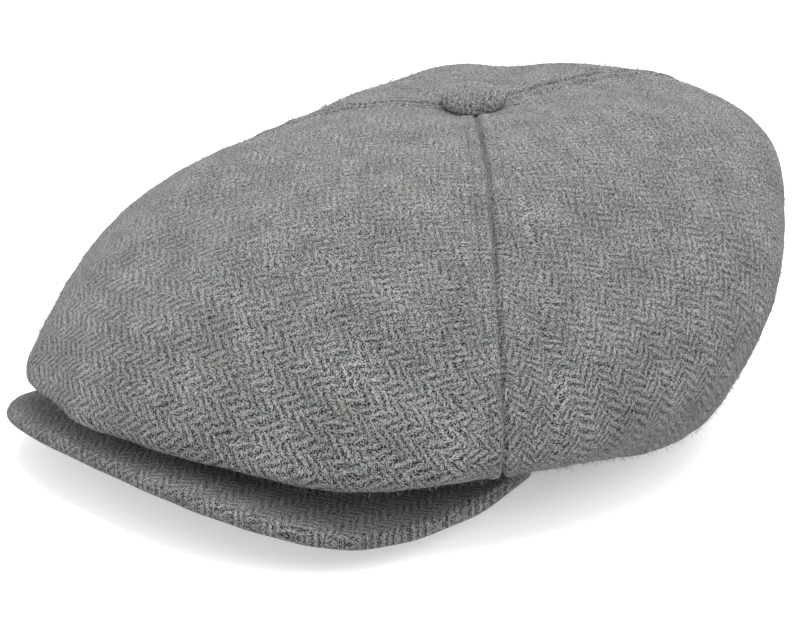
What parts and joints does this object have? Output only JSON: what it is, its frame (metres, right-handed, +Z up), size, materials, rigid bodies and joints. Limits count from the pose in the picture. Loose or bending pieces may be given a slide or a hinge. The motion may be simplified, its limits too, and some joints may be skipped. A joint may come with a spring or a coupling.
{
  "type": "newsboy cap",
  "caption": "Newsboy cap in grey herringbone wool: full soft crown, cloth-covered button, short curved brim, sweatband and lining.",
  "frame": {"origin": "middle of the overall bounding box, at the level that the headband rests on", "axes": "+Z up, -Y towards the front of the brim, +X towards the wearer's left"},
  "size_m": [0.2504, 0.2942, 0.1261],
  "materials": {
    "wool": "brushed herringbone wool, matt",
    "interlining": "matt felt",
    "lining": "satin sheen",
    "sweatband": "matt cotton twill",
    "band_tape": "matt woven tape",
    "label": "woven tape, blank",
    "brim_board": "matt moulded sheet",
    "button_metal": "pressed sheet",
    "thread": "twisted polyester"
  },
  "bodies": {
    "root": {"crown_front_panel": "wool", "interlining_front_panel": "interlining", "lining_front_panel": "lining", "crown_left_panel": "wool", "interlining_left_panel": "interlining", "lining_left_panel": "lining", "crown_right_panel": "wool", "interlining_right_panel": "interlining", "lining_right_panel": "lining", "outer_band": "wool", "band_tape": "band_tape", "sweatband": "sweatband", "size_label": "label", "woven_label": "label", "brim_top_cover": "wool", "brim_bottom_cover": "wool", "brim_board": "brim_board", "button_cover": "wool", "button_shell": "button_metal", "button_back": "button_metal", "button_thread": "thread"}
  },
  "joints": []
}
